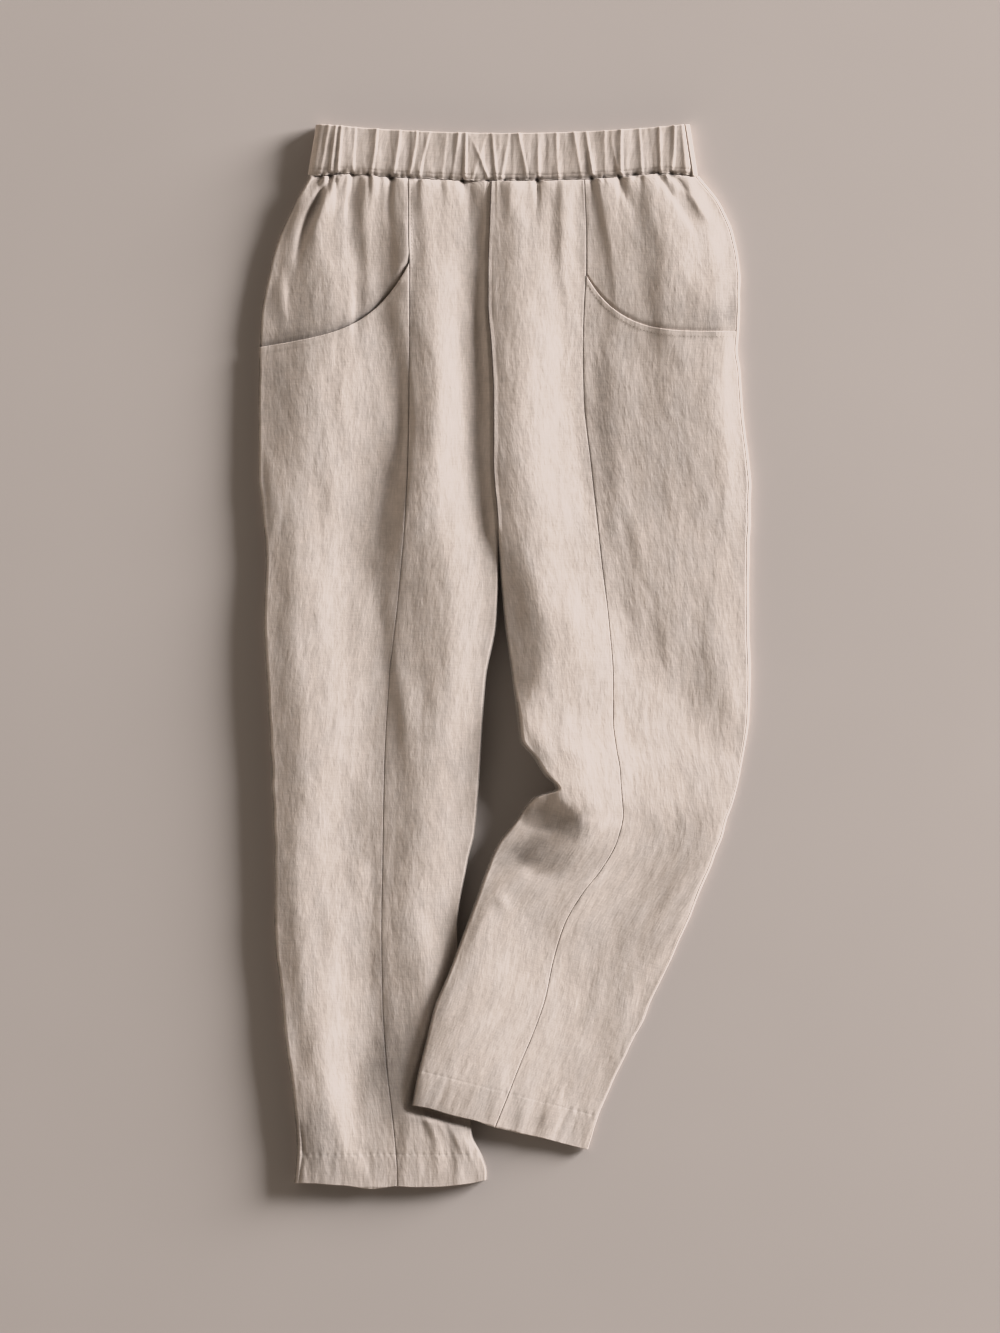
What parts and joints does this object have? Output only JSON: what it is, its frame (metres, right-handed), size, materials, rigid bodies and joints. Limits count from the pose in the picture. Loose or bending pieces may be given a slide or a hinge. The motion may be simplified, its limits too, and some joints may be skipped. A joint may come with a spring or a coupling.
{
  "type": "elastic-waist linen trousers laid flat",
  "caption": "Ankle-length linen trousers with a gathered elastic waistband and curved front pockets, laid flat with one knee bent and that shin over the other leg.",
  "frame": {"origin": "middle of the outline's bounding box, on the surface the garment lies on", "axes": "+X towards the wearer's left, +Y towards the waist, +Z out of the garment's front, away from the surface"},
  "size_m": [0.4429, 0.9561, 0.019],
  "materials": {
    "linen": "natural oatmeal linen, slubby plain weave, matte",
    "casing": "the same linen gathered over elastic",
    "thread": "matching sewing thread, matte"
  },
  "bodies": {
    "root": {"waistband_front": "casing", "waistband_back": "casing", "front_right": "linen", "front_left": "linen", "side_right": "linen", "side_left": "linen", "hip_right": "linen", "hip_left": "linen", "back_right": "linen", "back_left": "linen"}
  },
  "joints": []
}
